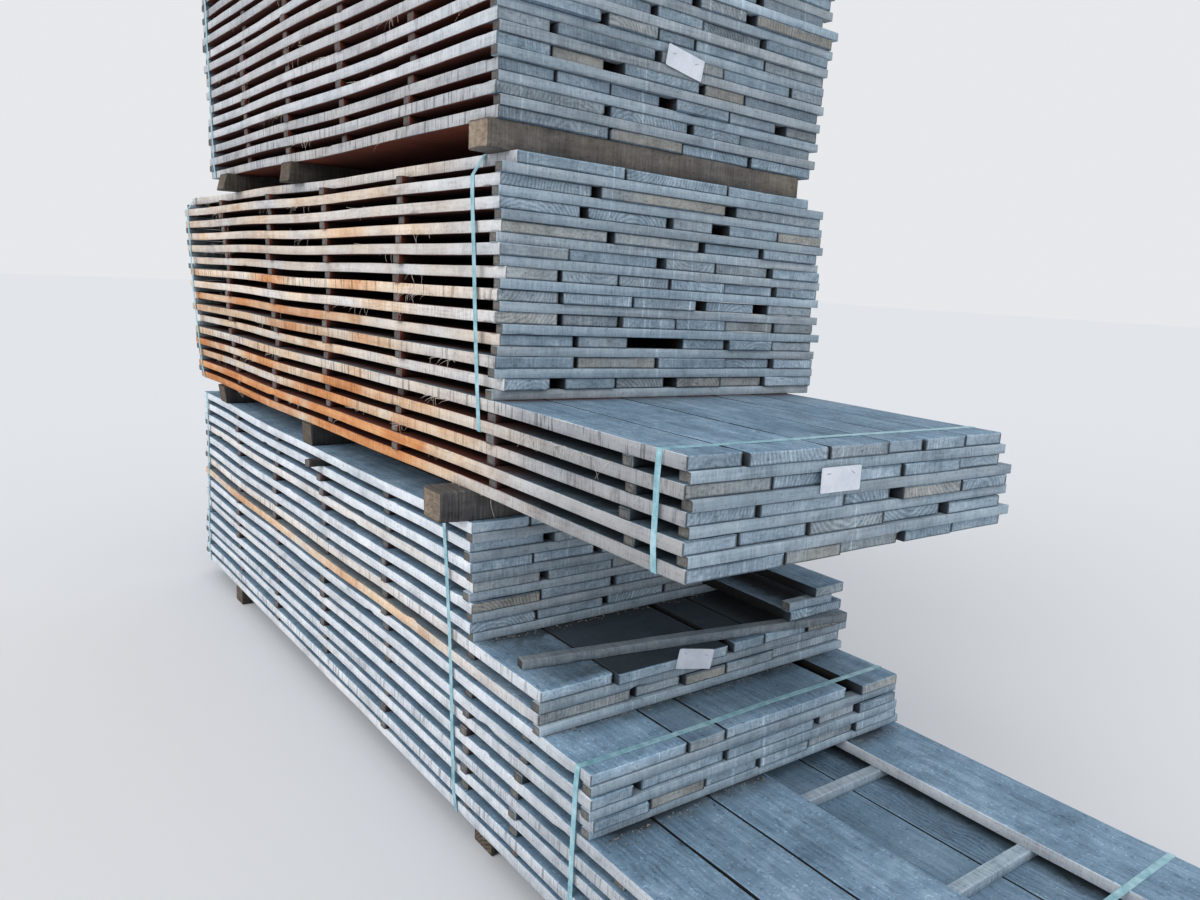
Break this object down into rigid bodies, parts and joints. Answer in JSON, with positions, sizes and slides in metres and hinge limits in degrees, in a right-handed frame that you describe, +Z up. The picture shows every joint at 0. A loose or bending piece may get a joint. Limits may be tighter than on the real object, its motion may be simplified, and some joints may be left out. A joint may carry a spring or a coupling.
{
  "type": "stack of sawn lumber",
  "caption": "Column of strapped packs of sawn boards with stickers between the rows, stepped at one end, standing on bearers.",
  "frame": {"origin": "middle of the stack's box, on the ground under the bottom bearers", "axes": "+Y along the boards to the flush end, +X across to the ragged side, +Z up"},
  "size_m": [1.18, 3.9, 2.487],
  "materials": {
    "sawn_board": "rough sawn, weathered grey",
    "sticker": "rough sawn",
    "bearer": "rough sawn",
    "strap": "embossed band",
    "card": "laminated card"
  },
  "bodies": {
    "root": {"bottom_step_1_boards": "sawn_board", "bottom_step_2_boards": "sawn_board", "bottom_step_3_boards": "sawn_board", "bottom_step_4_boards": "sawn_board", "middle_short_boards": "sawn_board", "middle_long_boards": "sawn_board", "top_boards": "sawn_board", "bottom_stickers": "sticker", "middle_stickers": "sticker", "top_stickers": "sticker", "loose_sticker": "sticker", "outrunner_sticker": "sticker", "ground_bearers": "bearer", "middle_bearers": "bearer", "top_bearers": "bearer", "bottom_near_strap": "strap", "bottom_step_3_strap": "strap", "bottom_step_4_strap": "strap", "bottom_far_strap": "strap", "middle_near_strap": "strap", "middle_step_strap": "strap", "middle_far_strap": "strap", "top_far_strap": "strap", "bottom_card": "card", "middle_card": "card", "top_card": "card"}
  },
  "joints": []
}
